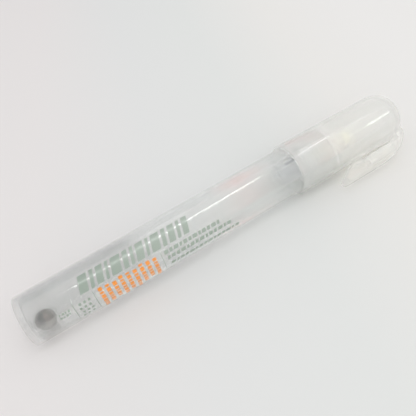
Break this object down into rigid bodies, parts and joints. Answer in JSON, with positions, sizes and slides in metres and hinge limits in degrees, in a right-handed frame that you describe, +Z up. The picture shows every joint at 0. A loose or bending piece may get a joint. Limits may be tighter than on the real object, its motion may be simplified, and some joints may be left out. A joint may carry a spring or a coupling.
{
  "type": "paint marker",
  "caption": "Empty refillable paint marker: translucent barrel with a mixing ball, screw-in spring valve and felt nib, and a push-on cap with a moulded clip.",
  "frame": {"origin": "middle of the underside of the marker lying on its side", "axes": "+X from the tail to the cap end, +Z up, the clip towards -Y"},
  "size_m": [0.1318, 0.022, 0.017],
  "materials": {
    "barrel_plastic": "frosted translucent polypropylene",
    "cap_plastic": "frosted translucent polypropylene",
    "holder_plastic": "natural moulded polypropylene",
    "seal_plastic": "soft natural polyethylene",
    "nib_felt": "pressed cream felt",
    "ball_steel": "polished steel",
    "spring_steel": "drawn steel wire",
    "green_ink": "grey-green screen-printing ink",
    "orange_ink": "orange screen-printing ink"
  },
  "bodies": {
    "barrel": {"barrel": "barrel_plastic"},
    "ball": {"mixing_ball": "ball_steel"},
    "gasket": {"seal_ring": "seal_plastic"},
    "front_section": {"nib_holder": "holder_plastic", "valve_housing": "holder_plastic", "valve_seal": "seal_plastic", "valve_spring": "spring_steel"},
    "writing_tip": {"nib": "nib_felt", "valve_plunger": "holder_plastic"},
    "cap": {"cap": "cap_plastic"}
  },
  "joints": [
    {"name": "cap_pull", "type": "slide", "parent": "barrel", "child": "cap", "axis": [1, 0, 0], "range_m": [0, 0.045]},
    {"name": "ball_roll", "type": "slide", "parent": "barrel", "child": "ball", "axis": [1, 0, 0], "range_m": [0, 0.0775]},
    {"name": "front_advance", "type": "slide", "parent": "barrel", "child": "gasket", "axis": [1, 0, 0], "range_m": [0, 0.007]},
    {"name": "front_unscrew", "type": "hinge", "parent": "gasket", "child": "front_section", "pos_m": [0.03745, 0.00246, 0.0085], "axis": [1, 0, 0], "range_deg": [0, 1810]},
    {"name": "nib_press", "type": "slide", "parent": "front_section", "child": "writing_tip", "axis": [-1, 0, 0], "range_m": [0, 0.0022], "stiffness_N_per_m": 400, "springref_m": -0.003, "deforming": ["valve_spring"]}
  ],
  "couplings": [
    {"joint": "front_unscrew", "follows": "front_advance", "rad_per_m": 4488}
  ]
}
